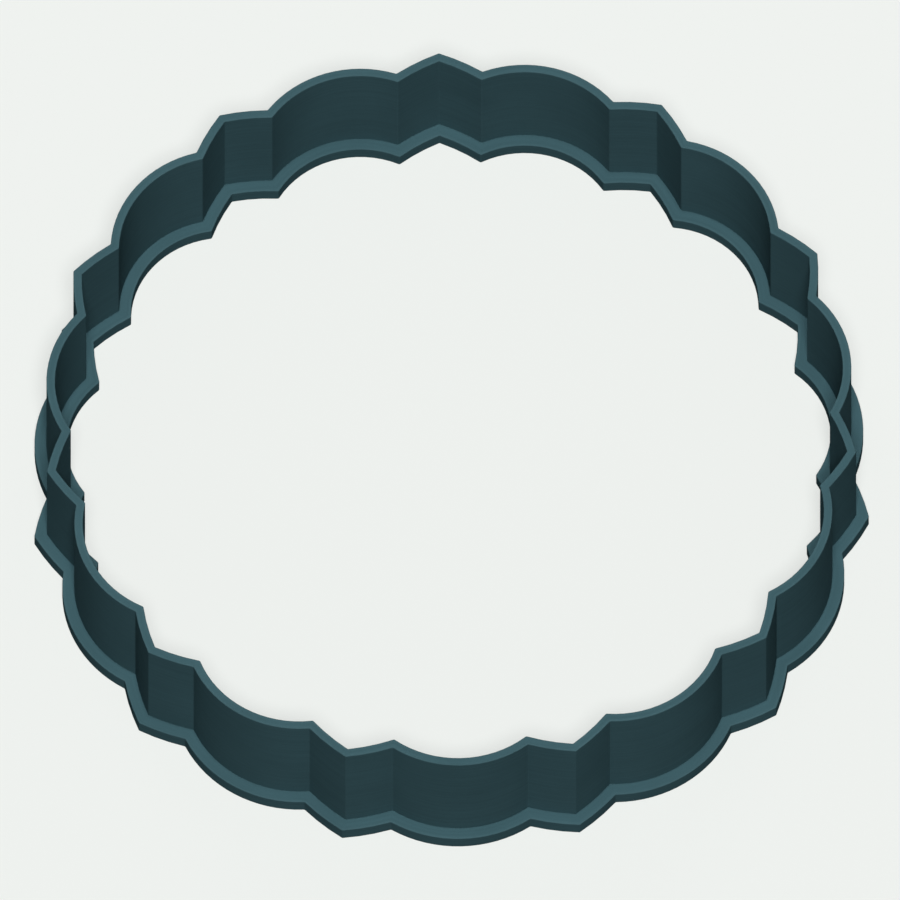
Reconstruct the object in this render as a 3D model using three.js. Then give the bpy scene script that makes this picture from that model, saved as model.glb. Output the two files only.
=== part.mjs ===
// A rosette cookie cutter in printed plastic: a thin upright cutting wall standing on a flat grip flange.
// Millimetres, +Z up. The origin is on the rosette's axis, in the plane that the flange rests on,
// and the tip of one pointed tab lies over +Y.

import * as THREE from 'three';

// Driving dimensions of the rosette, measured on the middle line of the wall and seen from above
const NOTCH_RADIUS = 35.5; // from the axis to the notches, where a scallop meets a tab
const LOBE_PITCH = 20.3; // along the circle of notches, for one round scallop and one pointed tab
const SCALLOP_RISE = 2.1; // crown of a scallop above the straight line between its two notches
const TAB_WIDTH = 7.85; // from notch to notch across a tab
const TAB_RISE = 2.07; // tip of a tab above the straight line between its two notches
const TAB_SIDE_BOW = 0.13; // how far the side of a tab bows out from a straight line

// Driving dimensions of the two sections
const WALL_THICKNESS = 0.8; // two lines side by side from a 0.4 mm nozzle
const WALL_HEIGHT = 12; // from the top of the flange to the cutting edge
const FLANGE_THICKNESS = 1.5;
const FLANGE_LIP = 1.1; // how far the flange stands past the wall, inside and outside alike

// Lobes that close the ring: the whole number whose pitch is nearest
const LOBES = Math.round((2 * Math.PI * NOTCH_RADIUS) / LOBE_PITCH);

// Steps that the arcs are drawn in
const SCALLOP_STEPS = 12;
const TAB_SIDE_STEPS = 3;

// Finish of the plastic
const PLASTIC_COLOUR = 0x405e65;
const PLASTIC_ROUGHNESS = 0.9;

// The circle of an arc that runs from start to end and bows out by rise, to the right of the way.
function bowedCircle(start, end, rise) {
  const chord = end.clone().sub(start);
  const halfChord = chord.length() / 2;
  const radius = (halfChord ** 2 + rise ** 2) / (2 * rise);
  const outward = new THREE.Vector2(chord.y, -chord.x).normalize();
  const middle = start.clone().lerp(end, 0.5);
  return { centre: middle.addScaledVector(outward, rise - radius), radius };
}

// The one of the two crossings of two circles that lies nearer to a point.
function crossing(first, second, near) {
  const way = second.centre.clone().sub(first.centre);
  const distance = way.length();
  const along = (first.radius ** 2 - second.radius ** 2 + distance ** 2) / (2 * distance);
  const across = Math.sqrt(first.radius ** 2 - along ** 2);
  way.normalize();
  const foot = first.centre.clone().addScaledVector(way, along);
  const square = new THREE.Vector2(-way.y, way.x);
  const left = foot.clone().addScaledVector(square, across);
  const right = foot.clone().addScaledVector(square, -across);
  return left.distanceTo(near) < right.distanceTo(near) ? left : right;
}

// The middle line of the wall as arcs, anticlockwise from the tip over +Y. Each lobe of the rosette is
// one side of a tab, a scallop, and the near side of the next tab.
function middleLine() {
  const notchReach = Math.sqrt(NOTCH_RADIUS ** 2 - (TAB_WIDTH / 2) ** 2);
  const tip = new THREE.Vector2(0, notchReach + TAB_RISE);
  const notchAfterTip = new THREE.Vector2(-TAB_WIDTH / 2, notchReach);
  const notchBeforeTip = new THREE.Vector2(TAB_WIDTH / 2, notchReach);
  const axis = new THREE.Vector2();
  const arcs = [];
  for (let lobe = 0; lobe < LOBES; lobe += 1) {
    const here = (2 * Math.PI * lobe) / LOBES;
    const next = (2 * Math.PI * (lobe + 1)) / LOBES;
    const corners = [
      tip.clone().rotateAround(axis, here),
      notchAfterTip.clone().rotateAround(axis, here),
      notchBeforeTip.clone().rotateAround(axis, next),
      tip.clone().rotateAround(axis, next),
    ];
    const rises = [TAB_SIDE_BOW, SCALLOP_RISE, TAB_SIDE_BOW];
    const steps = [TAB_SIDE_STEPS, SCALLOP_STEPS, TAB_SIDE_STEPS];
    rises.forEach((rise, i) => {
      arcs.push({
        start: corners[i],
        steps: steps[i],
        ...bowedCircle(corners[i], corners[i + 1], rise),
      });
    });
  }
  return arcs;
}

// Points of a line that runs beside the middle line, offset outwards. Its arcs keep their centres,
// and its corners are where neighbouring arcs cross, so notches and tips stay sharp.
function outline(offset) {
  const arcs = middleLine().map((arc) => ({ ...arc, radius: arc.radius + offset }));
  const corners = arcs.map((arc, i) => crossing(arcs.at(i - 1), arc, arc.start));
  return arcs.flatMap(({ centre, radius, steps }, i) => {
    const from = corners[i].clone().sub(centre).angle();
    const to = corners[(i + 1) % corners.length].clone().sub(centre).angle();
    const curve = new THREE.ArcCurve(centre.x, centre.y, radius, from, to, false);
    return curve.getPoints(steps).slice(0, -1);
  });
}

// A flat-topped ring that follows the rosette, reaching as far inside the middle line as outside it.
function rosetteRing(name, reach, height) {
  const shape = new THREE.Shape(outline(reach));
  shape.holes.push(new THREE.Path(outline(-reach)));
  const geometry = new THREE.ExtrudeGeometry(shape, { depth: height, bevelEnabled: false });
  const plastic = new THREE.MeshStandardMaterial({
    color: PLASTIC_COLOUR,
    roughness: PLASTIC_ROUGHNESS,
    metalness: 0,
  });
  const ring = new THREE.Mesh(geometry, plastic);
  ring.name = name;
  return ring;
}

// The flange that the hand presses on, flat on its face.
const gripFlange = rosetteRing('grip_flange', WALL_THICKNESS / 2 + FLANGE_LIP, FLANGE_THICKNESS);

// The wall that cuts the dough, standing on the middle of the flange.
const cuttingWall = rosetteRing('cutting_wall', WALL_THICKNESS / 2, WALL_HEIGHT);
cuttingWall.position.z = FLANGE_THICKNESS;

const cookieCutter = new THREE.Group();
cookieCutter.name = 'cookie_cutter';
cookieCutter.add(gripFlange, cuttingWall);

export default cookieCutter;
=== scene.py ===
# %% [markdown]
# # A rosette cookie cutter in matte printed plastic
#
# The cutter is one print: a flat grip flange, and a thin cutting wall standing on it. The packed
# part gives both as plain solids at their real size, and this lesson gives them the surface that a
# printer leaves. Everything is in metres, in the part's own frame: +Z up, the origin on the
# rosette's axis in the plane that the flange stands on, and the tip of one tab over +Y.

# %% Load the packed part
import math

import bpy
import numpy as np
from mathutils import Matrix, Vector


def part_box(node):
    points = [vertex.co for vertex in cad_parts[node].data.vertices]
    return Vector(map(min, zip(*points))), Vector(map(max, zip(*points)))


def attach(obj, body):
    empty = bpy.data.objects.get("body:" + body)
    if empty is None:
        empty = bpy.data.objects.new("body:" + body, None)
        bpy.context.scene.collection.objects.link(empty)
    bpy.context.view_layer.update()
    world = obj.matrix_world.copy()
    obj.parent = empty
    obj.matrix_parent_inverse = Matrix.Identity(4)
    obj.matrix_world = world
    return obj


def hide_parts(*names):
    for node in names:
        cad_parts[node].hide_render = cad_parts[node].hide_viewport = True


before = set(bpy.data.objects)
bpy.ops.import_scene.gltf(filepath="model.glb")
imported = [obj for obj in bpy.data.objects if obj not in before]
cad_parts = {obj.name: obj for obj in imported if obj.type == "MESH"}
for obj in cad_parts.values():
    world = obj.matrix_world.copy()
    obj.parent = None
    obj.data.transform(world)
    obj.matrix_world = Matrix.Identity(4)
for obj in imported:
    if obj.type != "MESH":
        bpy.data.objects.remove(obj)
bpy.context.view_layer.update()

MM = 0.001

print("nodes:", sorted(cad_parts))

# %% [markdown]
# ## The camera
#
# The photograph has no perspective: its far scallops are as large as its near ones. A perspective
# camera would have to stand very far off for that, so an orthographic one is used. How much the
# round rosette is squashed gives its elevation, and the tab at the back, which stands a little left
# of the middle, gives its azimuth. The scale makes the cutter as wide in the picture as in the
# photograph.

# %% Set up the camera
PICTURE_WIDTH = 900
PIXELS_PER_MM = 10.828
CAMERA_AZIMUTH = math.radians(-1.56)
CAMERA_ELEVATION = math.radians(61.0)
AIM_HEIGHT = 6.0 * MM
CAMERA_DISTANCE = 0.5


def direction(azimuth, elevation):
    """The unit vector towards a place that far round from -Y and that far above the horizon."""
    level = math.cos(elevation)
    return np.array([math.sin(azimuth) * level, -math.cos(azimuth) * level, math.sin(elevation)])


towards_camera = direction(CAMERA_AZIMUTH, CAMERA_ELEVATION)
camera = bpy.data.objects.new("camera", bpy.data.cameras.new("camera"))
camera.data.type = "ORTHO"
camera.data.ortho_scale = PICTURE_WIDTH / PIXELS_PER_MM * MM
camera.location = np.array([0, 0, AIM_HEIGHT]) + CAMERA_DISTANCE * towards_camera
camera.rotation_euler = (math.pi / 2 - CAMERA_ELEVATION, 0, CAMERA_AZIMUTH)
bpy.context.scene.collection.objects.link(camera)
bpy.context.scene.camera = camera
print("width of the picture in mm:", round(camera.data.ortho_scale / MM, 2))

# %% [markdown]
# ## The rosette, seen from above
#
# The wall's middle line is a ring of arcs: wide scallops, with a small pointed tab between each
# two. It could be drawn by hand as a curve, but worked out from a few sizes it is exact and easy to
# change. Points in the plane are written as complex numbers, because then turning is a
# multiplication, mirroring is a conjugate, and a whole grid of points is one expression. Each arc is
# found from its two ends and how far it bows out between them.

# %% Sizes of the rosette and its two circles
LOBES = 11
NOTCH_RADIUS = 35.5 * MM
SCALLOP_RISE = 2.1 * MM
TAB_WIDTH = 7.85 * MM
TAB_RISE = 2.07 * MM
TAB_SIDE_BOW = 0.13 * MM

lobe_turn = np.exp(2j * np.pi / LOBES)
notch = math.sqrt(NOTCH_RADIUS**2 - TAB_WIDTH**2 / 4) + 1j * TAB_WIDTH / 2
tip = notch.real + TAB_RISE


def bowed_circle(start, end, rise):
    """Centre and radius of the arc from start to end that bows out by rise, to the right of the way.

    Half a chord h and a rise b belong to the radius (h * h + b * b) / 2b, and the centre lies that
    far behind the arc's crown.
    """
    chord = end - start
    half = abs(chord) / 2
    radius = (half**2 + rise**2) / (2 * rise)
    outward = -1j * chord / abs(chord)
    return (start + end) / 2 + outward * (rise - radius), radius


side_centre, side_radius = bowed_circle(tip, notch, TAB_SIDE_BOW)
scallop_centre, scallop_radius = bowed_circle(notch, notch.conjugate() * lobe_turn, SCALLOP_RISE)
print("radius of a scallop in mm:", round(scallop_radius / MM, 2))
print("radius of a tab's side in mm:", round(side_radius / MM, 2))

# %% [markdown]
# ## Corners of the lines beside the middle line
#
# The flange's edges and both faces of the wall run beside the middle line, each at its own reach.
# Moving every point along its normal would open gaps at the tips and tangle the notches. An arc that
# is moved outwards keeps its centre and gains radius instead, so the new corners are where the new
# circles cross.

# %% Find the corners for any reach


def tip_corner(reach):
    """Where the two sides of the tab on the real axis cross, that far outside the middle line."""
    return side_centre.real + np.sqrt((side_radius + reach) ** 2 - side_centre.imag**2) + 0j


def notch_corner(reach):
    """Where the tab's side and the scallop cross: the point at the right distance from both centres.

    Two circles cross on both sides of the line between their centres. The notch is the crossing on
    its right.
    """
    way = scallop_centre - side_centre
    apart = abs(way)
    side = side_radius + reach
    along = (side**2 - (scallop_radius + reach) ** 2 + apart**2) / (2 * apart)
    across = np.sqrt(side**2 - along**2)
    return side_centre + way / apart * (along - 1j * across)


found = [tip_corner(0), notch_corner(0)]
print("corners found where they were drawn:", np.allclose(found, [tip, notch]))

# %% [markdown]
# ## Half a lobe
#
# A printer's nozzle is round, so no corner is quite sharp. A Bevel modifier could round the finished
# mesh, but would cut its rows of beads up, so each corner gets a small arc here. Its centre is the
# corner of a line one rounding further in (at a tip) or further out (at a notch). With a signed
# radius, every stretch of the outline is then centre + radius * outward normal, and only the
# normal's angle runs along it.

# %% Draw half a lobe for a column of reaches
CORNER_ROUNDING = 0.2 * MM
TIP_STEPS = 2
SIDE_STEPS = 3
NOTCH_STEPS = 3
SCALLOP_STEPS = 8


def stretch(centre, radius, first, last, steps):
    """Points and outward normals of one arc, without its last point, which starts the next arc."""
    angle = first + (last - first) * np.arange(steps) / steps
    normal = np.exp(1j * angle)
    return centre + radius * normal, normal


def half_lobe(reach):
    """The outline from a tab's tip to the crown of the next scallop, for a column of reaches.

    Its arcs are half the tip's rounding, the tab's side, the notch's rounding, which turns the other
    way and so has a negative radius, and half the scallop, with its crown as one more point.
    """
    tip_centre = tip_corner(reach - CORNER_ROUNDING)
    notch_centre = notch_corner(reach + CORNER_ROUNDING)
    tip_end = np.angle(tip_centre - side_centre)
    side_end = np.angle(notch_centre - side_centre)
    scallop_start = np.angle(notch_centre - scallop_centre)
    crown = np.full_like(reach, np.pi / LOBES)
    arcs = [
        stretch(tip_centre, CORNER_ROUNDING, 0 * reach, tip_end, TIP_STEPS),
        stretch(side_centre, side_radius + reach, tip_end, side_end, SIDE_STEPS),
        stretch(notch_centre, -CORNER_ROUNDING, side_end, scallop_start, NOTCH_STEPS),
        stretch(scallop_centre, scallop_radius + reach, scallop_start, crown, SCALLOP_STEPS),
        stretch(scallop_centre, scallop_radius + reach, crown, crown, 1),
    ]
    return [np.concatenate(kind, axis=1) for kind in zip(*arcs)]


print("points along half a lobe:", half_lobe(np.zeros((1, 1)))[0].size)

# %% [markdown]
# ## The whole outline
#
# The rest of the rosette is the half lobe's mirror image and turned copies of both. Mirror and Array
# modifiers could copy a mesh, but would leave doubled points to merge. Multiplying the points by
# turns leaves none, and turns the normals as well.

# %% Mirror and turn the half lobe


def rosette(reaches):
    """Closed outlines, one row for each reach: points and outward normals as complex numbers.

    The second half of a lobe is the conjugate of the first, turned by one lobe and read backwards.
    The lobes are turned copies, and one more quarter turn brings the first tab from the real axis,
    which is X, to Y.
    """
    turns = 1j * lobe_turn ** np.arange(LOBES)
    rows = []
    for half in half_lobe(np.asarray(reaches, float)[:, None]):
        lobe = np.concatenate([half, lobe_turn * half[:, -2:0:-1].conj()], axis=1)
        rows.append((turns[:, None] * lobe[:, None, :]).reshape(len(lobe), -1))
    return rows


middle_line = rosette([0.0])[0][0]
travelled = np.abs(np.diff(middle_line, append=middle_line[0])).cumsum()
print("points along the outline:", len(middle_line))
print("once round the wall in mm:", round(travelled[-1] / MM, 1))

# %% [markdown]
# ## Beads of plastic
#
# A printer lays round-shouldered beads: layers stacked up a wall, and lines laid side by side across
# a flat face. The grooves between them are only about a hundredth of a millimetre deep, but they
# catch the light. A bump in the material could fake them, but as real shape they stay with the mesh
# wherever it goes. No two beads are squeezed quite alike. Steps of the golden ratio, with the whole
# numbers dropped, spread their strengths evenly without ever repeating, so no random numbers are
# needed.

# %% One run of beads
LAYER_HEIGHT = 0.3 * MM
LINE_WIDTH = 0.42 * MM
GROOVE_DEPTH = 0.010 * MM
BEAD_SHOULDER = 0.2
WEAKEST_BEAD = 0.5
STRONGEST_BEAD = 1.5
GOLDEN_RATIO = (1 + math.sqrt(5)) / 2
EDGE_CLEARANCE = 0.005 * MM


def bead_run(start, end, beads, depth, first_rounding, last_rounding):
    """Points, normals and bead numbers of a straight run of beads, between its rounded ends.

    Across a bead of pitch p the surface is a parabola, lower by depth * (2t - 1) ** 2 at the share
    t of its width, so its slope is 4 * depth * (1 - 2t) / p. Each bead has a point in the groove
    before it and one on each shoulder. In the groove two beads of different strength meet, so the
    plain depth is taken there and the normal points straight out.
    """
    length = abs(end - start)
    along = (end - start) / length
    outward = -1j * along
    share = np.array([0, BEAD_SHOULDER, 1 - BEAD_SHOULDER])
    number = np.arange(beads)[:, None] + share
    place = number * length / beads
    spread = np.arange(beads) * GOLDEN_RATIO % 1
    strength = WEAKEST_BEAD + (STRONGEST_BEAD - WEAKEST_BEAD) * spread
    bead_depth = depth * strength[:, None]
    sunk = np.where(share > 0, bead_depth * (2 * share - 1) ** 2, depth)
    slope = np.where(share > 0, 4 * bead_depth * (1 - 2 * share) * beads / length, 0)
    normal = outward - slope * along
    points = start + along * place - outward * sunk
    from_start = place - first_rounding
    from_end = length - place - last_rounding
    kept = np.minimum(from_start, from_end) > EDGE_CLEARANCE
    return points[kept], (normal / abs(normal))[kept], number[kept]


steepest = 4 * STRONGEST_BEAD * GROOVE_DEPTH * (1 - 2 * BEAD_SHOULDER) / LAYER_HEIGHT
print("steepest shoulder of a layer in degrees:", round(math.degrees(math.atan(steepest)), 1))

# %% [markdown]
# ## The section of a ring
#
# Cut across, a ring shows a closed loop of four bead runs, with a small rounding between each two.
# The top edges keep the round of the bead. The foot is squeezed against what it is laid on, so its
# edges are nearly square. A bevelled box would have the same outline, but no beads. The section is
# drawn in its own plane, reach to the right and height upwards, again as complex numbers.

# %% Close the section with rounded edges
TOP_ROUNDING = 0.1 * MM
FOOT_ROUNDING = 0.03 * MM
ROUNDING_POINTS = 4


def rounding(corner, radius, before, after):
    """Points and normals of the quarter arc at a corner, from the normal before to the one after."""
    angle = np.angle(before) + np.linspace(0, np.pi / 2, ROUNDING_POINTS)
    centre = corner - radius * (before + after)
    return centre + radius * np.exp(1j * angle), np.exp(1j * angle)


def ring_section(reach, low, high, lines, layers, foot_depth):
    """The closed section of a ring, anticlockwise: foot, outer side, top and inner side.

    Gives its points, its normals, the number of beads passed at each point and 1 on the roundings,
    and then the number of beads in the whole loop.
    """
    starts = np.array([-reach + 1j * low, reach + 1j * low, reach + 1j * high, -reach + 1j * high])
    ends = np.roll(starts, -1)
    roundings = [FOOT_ROUNDING, FOOT_ROUNDING, TOP_ROUNDING, TOP_ROUNDING]
    beads = [lines, layers, lines, layers]
    depths = [foot_depth, GROOVE_DEPTH, GROOVE_DEPTH, GROOVE_DEPTH]
    parts = []
    passed = 0
    for side, (start, end) in enumerate(zip(starts, ends)):
        outward = -1j * (end - start) / abs(end - start)
        radius = roundings[(side + 1) % len(roundings)]
        points, normals, number = bead_run(
            start, end, beads[side], depths[side], roundings[side], radius
        )
        parts.append((points, normals, passed + number, np.zeros(len(points))))
        passed += beads[side]
        points, normals = rounding(end, radius, outward, 1j * outward)
        parts.append((points, normals, np.full(len(points), passed), np.ones(len(points))))
    return [np.concatenate(kind) for kind in zip(*parts)], passed


print("rounding of the top edges in mm:", round(TOP_ROUNDING / MM, 2))
print("rounding of the foot in mm:", round(FOOT_ROUNDING / MM, 2))

# %% [markdown]
# ## A grid that closes both ways
#
# A curve with a bevel object could carry the section along the rosette, but it would pinch the
# section at every notch. A grid is exact: one direction goes round the section, the other along the
# outline. Both come back to where they start, so the last row and column of faces use the first
# points again, and no seam is left open.

# %% Number the faces of the grid


def closed_grid(rows, columns):
    """Corner numbers of the faces of a grid that closes both ways, wound so that they face outwards."""
    row = np.arange(rows)[:, None]
    column = np.arange(columns)[None, :]
    up = (row + 1) % rows
    right = (column + 1) % columns
    corners = [
        row * columns + column,
        row * columns + right,
        up * columns + right,
        up * columns + column,
    ]
    return np.stack(corners, axis=-1).reshape(-1, 4)


print("faces of a closed grid of 3 by 4:", len(closed_grid(3, 4)))

# %% [markdown]
# ## A map along the beads
#
# The finish has to know which bead a point lies on and how far along it. Unwrapping the mesh
# couldn't tell, but the grid was made from both, so they are written straight into a UV map: the way
# along the middle line, and the count of beads across it.

# %% Map the beads


def path_map(number, total):
    """For each corner of each face: millimetres along the middle line, and beads round the section."""
    along, across = np.meshgrid(np.insert(travelled / MM, 0, 0), np.append(number, total))
    corners = np.stack([along, across], axis=-1)
    faces = [corners[:-1, :-1], corners[:-1, 1:], corners[1:, 1:], corners[1:, :-1]]
    return np.stack(faces, axis=2).reshape(-1, 2)


trial_map = path_map(np.arange(3), 3)
print("a map of three beads reaches to:", np.round(trial_map.max(axis=0), 1))

# %% [markdown]
# ## Carrying a section round the rosette
#
# A point of the section gives a reach and a height, and the outline at that reach gives the place.
# Blender could average normals from the faces, but the true ones are known from the formula, so they
# are stored with the mesh: the light then runs smoothly over each arc and breaks crisply at notches
# and tips. An attribute marks the rounded edges, where hands rub.

# %% Make a ring from its section
PATH_MAP = "bead_path"
EDGE_ATTRIBUTE = "edge"


def swept_ring(name, section, total):
    """A ring as a mesh object: each point of the section carried along at its reach and height.

    A normal has the rise of the section's own, and its level part lies along the outline's normal.
    """
    points, normals, number, edge = section
    place, outward = rosette(points.real)
    height = np.broadcast_to(points.imag[:, None], place.shape)
    level = normals.real[:, None] * outward
    rise = np.broadcast_to(normals.imag[:, None], place.shape)
    vertices = np.stack([place.real, place.imag, height], axis=-1).reshape(-1, 3)
    directions = np.stack([level.real, level.imag, rise], axis=-1).reshape(-1, 3)
    mesh = bpy.data.meshes.new(name)
    mesh.from_pydata(vertices, [], closed_grid(*place.shape))
    mesh.polygons.foreach_set("use_smooth", np.ones(len(mesh.polygons), bool))
    mesh.uv_layers.new(name=PATH_MAP).data.foreach_set("uv", path_map(number, total).ravel())
    edges = mesh.attributes.new(EDGE_ATTRIBUTE, "FLOAT", "POINT")
    edges.data.foreach_set("value", np.repeat(edge, place.shape[1]))
    mesh.normals_split_custom_set_from_vertices(directions)
    mesh.update()
    ring = bpy.data.objects.new(name, mesh)
    bpy.context.scene.collection.objects.link(ring)
    print(name, "triangles:", 2 * len(mesh.polygons))
    return ring


print("kept with each ring:", PATH_MAP, "and", EDGE_ATTRIBUTE)

# %% [markdown]
# ## The grip flange
#
# The flange is what the hand presses on. It is printed first, face down on a flat plate, so its
# under side is pressed flatter than its other faces and has shallower grooves. Heights and the lip
# past the wall are read from the packed part, so that the ring can't differ from its solid.

# %% Make the grip flange
WALL_THICKNESS = 0.8 * MM
PRESSED_DEPTH = 0.002 * MM

flange_low, flange_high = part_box("grip_flange")
wall_low, wall_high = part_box("cutting_wall")
flange_lip = wall_low.y - flange_low.y
flange_reach = WALL_THICKNESS / 2 + flange_lip
flange_layers = round((flange_high.z - flange_low.z) / LAYER_HEIGHT)
flange_lines = round(2 * flange_reach / LINE_WIDTH)
flange_section, flange_beads = ring_section(
    flange_reach, flange_low.z, flange_high.z, flange_lines, flange_layers, PRESSED_DEPTH
)
grip_flange = swept_ring("grip_flange_print", flange_section, flange_beads)
print("lines across the flange:", flange_lines, "layers:", flange_layers)

# %% [markdown]
# ## The cutting wall
#
# The wall is what cuts the dough. It is two lines thick and goes up layer by layer from the middle
# of the flange to its flat top edge, so the same section with other sizes makes it.

# %% Make the cutting wall
WALL_LINES = 2

wall_layers = round((wall_high.z - wall_low.z) / LAYER_HEIGHT)
wall_section, wall_beads = ring_section(
    WALL_THICKNESS / 2, wall_low.z, wall_high.z, WALL_LINES, wall_layers, GROOVE_DEPTH
)
cutting_wall = swept_ring("cutting_wall_print", wall_section, wall_beads)
print("layers up the wall:", wall_layers)

# %% [markdown]
# ## Standing in for the solids
#
# Each ring takes the place of one solid of the packed part and moves with the part's only body.
# Both rings get the printed plastic further on.

# %% Tie the rings to the packed part
for piece, node in ((grip_flange, "grip_flange"), (cutting_wall, "cutting_wall")):
    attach(piece, "root")
    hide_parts(node)
    print(piece.name, "stands for", node)

# %% [markdown]
# ## Shader maths in plain expressions
#
# A material is a graph of nodes. Linking each node by hand hides the formula, so a small class wraps
# a node's output, and its operators add Math nodes. Every other node comes from one method, which
# sets the node's settings first and then its inputs.


# %% A socket that can be calculated with
class Wire:
    """One output of a node tree. Arithmetic on wires and numbers adds Math nodes to the tree."""

    def __init__(self, tree, socket=None):
        self.tree = tree
        self.socket = socket

    def node(self, kind, settings, inputs, output=0):
        """Adds a node with these settings, sets or links these inputs, and returns one output."""
        made = self.tree.nodes.new(kind)
        for name, value in settings.items():
            setattr(made, name, value)
        for name, value in inputs.items():
            if isinstance(value, Wire):
                self.tree.links.new(value.socket, made.inputs[name])
            else:
                made.inputs[name].default_value = value
        return Wire(self.tree, made.outputs[output] if made.outputs else None)

    def math(self, operation, first, second):
        """One Math node on two wires or numbers."""
        return self.node("ShaderNodeMath", {"operation": operation}, {0: first, 1: second})

    def blend(self, factor, first, second):
        """A colour between two colours: the first where the factor is 0, the second where it is 1."""
        inputs = {"Factor": factor, "A": first, "B": second}
        return self.node("ShaderNodeMix", {"data_type": "RGBA"}, inputs, "Result")

    def mix(self, factor, first, second):
        """A shader between two shaders, in the same order."""
        return self.node("ShaderNodeMixShader", {}, {0: factor, 1: first, 2: second})

    def __add__(self, other):
        return self.math("ADD", self, other)

    def __sub__(self, other):
        return self.math("SUBTRACT", self, other)

    def __rsub__(self, other):
        return self.math("SUBTRACT", other, self)

    def __mul__(self, other):
        return self.math("MULTIPLY", self, other)

    __radd__ = __add__
    __rmul__ = __mul__


def emptied_tree(owner):
    """Gives a material or a world an empty node tree, and returns the way into it."""
    owner.use_nodes = True
    owner.node_tree.nodes.clear()
    return Wire(owner.node_tree)


print("methods of a wire:", [name for name in vars(Wire) if not name.startswith("_")])

# %% [markdown]
# ## Clouds, and the tone of each bead
#
# Up close the plastic isn't one flat colour. The pigment is a little cloudy, which is a noise on the
# piece's own coordinates. Each bead was laid at a slightly different speed and so is a little
# lighter or duller than its neighbour, which is a noise on the bead map. An image could hold both,
# but noise has no edges and no end.

# %% Clouds along the piece and along the beads
NOISE_MIDDLE = 0.5
BEAD_DRIFT = 0.06
BEAD_OCTAVES = 2


def noise(start, place, scale, octaves, dimensions="3D"):
    """Clouds about zero, with that many octaves of finer clouds on the large ones."""
    settings = {"noise_dimensions": dimensions}
    inputs = {"Vector": place, "Scale": scale, "Detail": octaves}
    return start.node("ShaderNodeTexNoise", settings, inputs, "Fac") - NOISE_MIDDLE


def bead_tones(start):
    """A noise that is read once for each bead and drawn out along it.

    Only a small share of each millimetre of the way counts, so that a bead keeps its tone for a
    while and its neighbour has another.
    """
    path = start.node("ShaderNodeUVMap", {"uv_map": PATH_MAP}, {}, "UV")
    drawn_out = start.node("ShaderNodeMapping", {}, {"Vector": path, "Scale": (BEAD_DRIFT, 1, 1)})
    return noise(start, drawn_out, scale=1, octaves=BEAD_OCTAVES, dimensions="2D")


print("a bead keeps its tone for about this many mm:", round(1 / BEAD_DRIFT))

# %% [markdown]
# ## Matte printed plastic
#
# The plastic is a dark teal with hardly any shine. Two near tones are mixed by the clouds and the
# beads, the edges that get handled are rubbed a little paler and smoother, and a fine grain is left
# to a bump, because it is too small for the mesh.

# %% Make the plastic
PLASTIC_DARK = (0.0472, 0.1030, 0.1197, 1)
PLASTIC_LIGHT = (0.0554, 0.1208, 0.1405, 1)
PLASTIC_RUBBED = (0.0720, 0.1400, 0.1590, 1)
PLASTIC_ROUGHNESS = 0.9
PLASTIC_SHINE = 0.002
CLOUDS_PER_METRE = 140.0
CLOUD_OCTAVES = 3
CLOUD_CONTRAST = 1.6
BEAD_CONTRAST = 1.2
BEAD_ROUGHNESS = 0.2
RUBBED_SHARE = 0.5
RUBBED_POLISH = 0.1
GRAINS_PER_METRE = 3000.0
GRAIN_OCTAVES = 2
GRAIN_HEIGHT = 0.02 * MM
GRAIN_STRENGTH = 0.2


def printed_plastic():
    """A matte plastic: two near tones mixed by clouds and beads, rubbed edges, and a fine grain."""
    material = bpy.data.materials.new("printed_plastic")
    start = emptied_tree(material)
    place = start.node("ShaderNodeTexCoord", {}, {}, "Object")
    edge = start.node("ShaderNodeAttribute", {"attribute_name": EDGE_ATTRIBUTE}, {}, "Fac")
    clouds = noise(start, place, CLOUDS_PER_METRE, CLOUD_OCTAVES)
    grain = noise(start, place, GRAINS_PER_METRE, GRAIN_OCTAVES)
    beads = bead_tones(start)
    tone = NOISE_MIDDLE + CLOUD_CONTRAST * clouds + BEAD_CONTRAST * beads
    rubbed = RUBBED_SHARE * edge * (NOISE_MIDDLE + clouds)
    plain = start.blend(tone, PLASTIC_DARK, PLASTIC_LIGHT)
    bump = {"Height": grain, "Strength": GRAIN_STRENGTH, "Distance": GRAIN_HEIGHT}
    inputs = {
        "Base Color": start.blend(rubbed, plain, PLASTIC_RUBBED),
        "Roughness": PLASTIC_ROUGHNESS + BEAD_ROUGHNESS * beads - RUBBED_POLISH * rubbed,
        "Specular IOR Level": PLASTIC_SHINE,
        "Normal": start.node("ShaderNodeBump", {}, bump),
    }
    shader = start.node("ShaderNodeBsdfPrincipled", {}, inputs)
    start.node("ShaderNodeOutputMaterial", {}, {"Surface": shader})
    return material


plastic = printed_plastic()
grip_flange.data.materials.append(plastic)
cutting_wall.data.materials.append(plastic)
print("nodes in the plastic:", len(plastic.node_tree.nodes))

# %% [markdown]
# ## A floor that throws little light back
#
# The cutter stands on a plain pale floor. One pale paint would do, but it would light the walls from
# below and wash them out. This floor is pale where it is seen, also in a reflection, and dark for
# light that bounces off it. Where it is seen it glows a little too, which keeps the soft shadow
# round the cutter light.

# %% Lay the floor
BACKDROP = (0.863, 0.888, 0.863, 1)
FLOOR_BOUNCE = (0.05, 0.05, 0.05, 1)
FLOOR_GLOW = 0.6
FLOOR_HALF = 3.0
FLOOR_DROP = 0.01 * MM


def seen_directly(start):
    """1 for camera, glossy and transmission rays, and 0 for light that bounces on."""
    camera_ray = start.node("ShaderNodeLightPath", {}, {}, "Is Camera Ray")
    glossy_ray = start.node("ShaderNodeLightPath", {}, {}, "Is Glossy Ray")
    transmission_ray = start.node("ShaderNodeLightPath", {}, {}, "Is Transmission Ray")
    return start.math("MINIMUM", camera_ray + glossy_ray + transmission_ray, 1)


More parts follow.
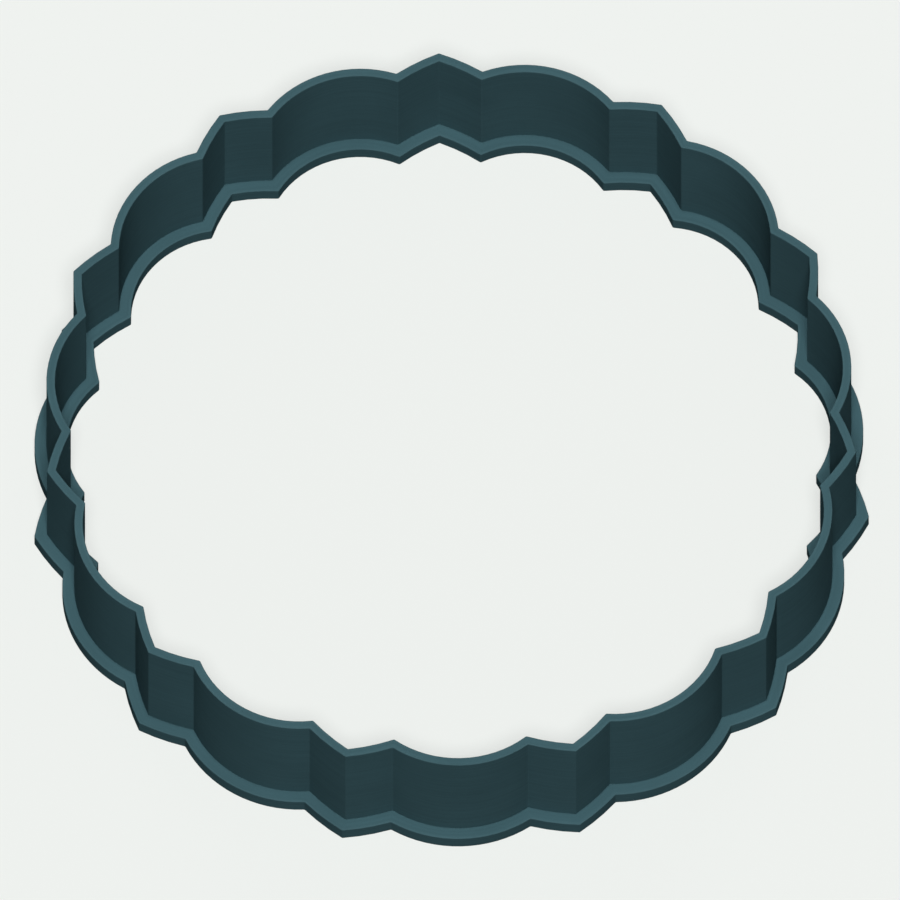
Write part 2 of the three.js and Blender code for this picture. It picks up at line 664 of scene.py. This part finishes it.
def floor_paint():
    """Pale and glowing a little where it is seen directly, and dark for light that bounces off it."""
    material = bpy.data.materials.new("floor_paint")
    start = emptied_tree(material)
    pale = start.node("ShaderNodeBsdfDiffuse", {}, {"Color": BACKDROP})
    glow = start.node("ShaderNodeEmission", {}, {"Color": BACKDROP})
    bounce = start.node("ShaderNodeBsdfDiffuse", {}, {"Color": FLOOR_BOUNCE})
    both = start.mix(seen_directly(start), bounce, start.mix(FLOOR_GLOW, pale, glow))
    start.node("ShaderNodeOutputMaterial", {}, {"Surface": both})
    return material


floor_mesh = bpy.data.meshes.new("floor")
floor_corners = np.array([[-1, -1], [1, -1], [1, 1], [-1, 1]]) * FLOOR_HALF
floor_mesh.from_pydata(np.insert(floor_corners, 2, -FLOOR_DROP, axis=1), [], [(0, 1, 2, 3)])
floor_mesh.materials.append(floor_paint())
floor = bpy.data.objects.new("floor", floor_mesh)
bpy.context.scene.collection.objects.link(floor)
print("floor in metres:", 2 * FLOOR_HALF)

# %% [markdown]
# ## The backdrop
#
# The floor runs into a backdrop of the same colour. A curved sheet could be hung behind it, but the
# world does it from every side, and also gives a dim even light, which keeps the darkest walls from
# going black.

# %% Hang the backdrop
WHITE = (1, 1, 1, 1)
AMBIENT_SHARE = 0.06


def backdrop_world():
    """The pale backdrop where it is seen directly, and a dim even light from all round otherwise."""
    world = bpy.data.worlds.new("backdrop")
    start = emptied_tree(world)
    seen = start.node("ShaderNodeBackground", {}, {"Color": BACKDROP})
    ambient = start.node("ShaderNodeBackground", {}, {"Color": WHITE, "Strength": AMBIENT_SHARE})
    both = start.mix(seen_directly(start), ambient, seen)
    start.node("ShaderNodeOutputWorld", {}, {"Surface": both})
    return world


bpy.context.scene.world = backdrop_world()
print("share of full light from all round:", AMBIENT_SHARE)

# %% [markdown]
# ## Light
#
# The light is plain and soft: a key lamp from the camera's side, so that its shadows fall behind the
# walls, a narrow lamp straight above, which reaches the flange right beside the wall, and two low
# lamps behind that keep the sides and the back readable. Area lamps close by would light one side of
# the ring more than the other, so all are far lamps. Each is set by the share of full light that it
# gives to a level surface. With the backdrop's share they add up to one, so that a colour renders
# about as it is written.

# %% Hang the lamps
KEY_SHARE = 0.66
KEY_ELEVATION = 61
KEY_SPREAD = 12
TOP_SHARE = 0.248
TOP_ELEVATION = 90
TOP_SPREAD = 2
BACK_SHARE = 0.016
BACK_AZIMUTH = 155
BACK_ELEVATION = 5
BACK_SPREAD = 20


def soft_lamp(name, azimuth, elevation, share, spread):
    """A far lamp, its angles and its width on the sky in degrees, that gives that share of full light.

    Full light is pi watts on each square metre of a level surface, under which a white one renders
    as white.
    """
    lamp = bpy.data.lights.new(name, "SUN")
    lamp.angle = math.radians(spread)
    lamp.energy = math.pi * share / math.sin(math.radians(elevation))
    holder = bpy.data.objects.new(name, lamp)
    holder.rotation_euler = (math.radians(90 - elevation), 0, math.radians(azimuth))
    bpy.context.scene.collection.objects.link(holder)


soft_lamp("key_lamp", 0, KEY_ELEVATION, KEY_SHARE, KEY_SPREAD)
soft_lamp("top_lamp", 0, TOP_ELEVATION, TOP_SHARE, TOP_SPREAD)
soft_lamp("back_left_lamp", -BACK_AZIMUTH, BACK_ELEVATION, BACK_SHARE, BACK_SPREAD)
soft_lamp("back_right_lamp", BACK_AZIMUTH, BACK_ELEVATION, BACK_SHARE, BACK_SPREAD)
bpy.context.scene.view_settings.view_transform = "Standard"
full_light = KEY_SHARE + TOP_SHARE + 2 * BACK_SHARE + AMBIENT_SHARE
print("light on a level surface:", round(full_light, 2))

# %% [markdown]
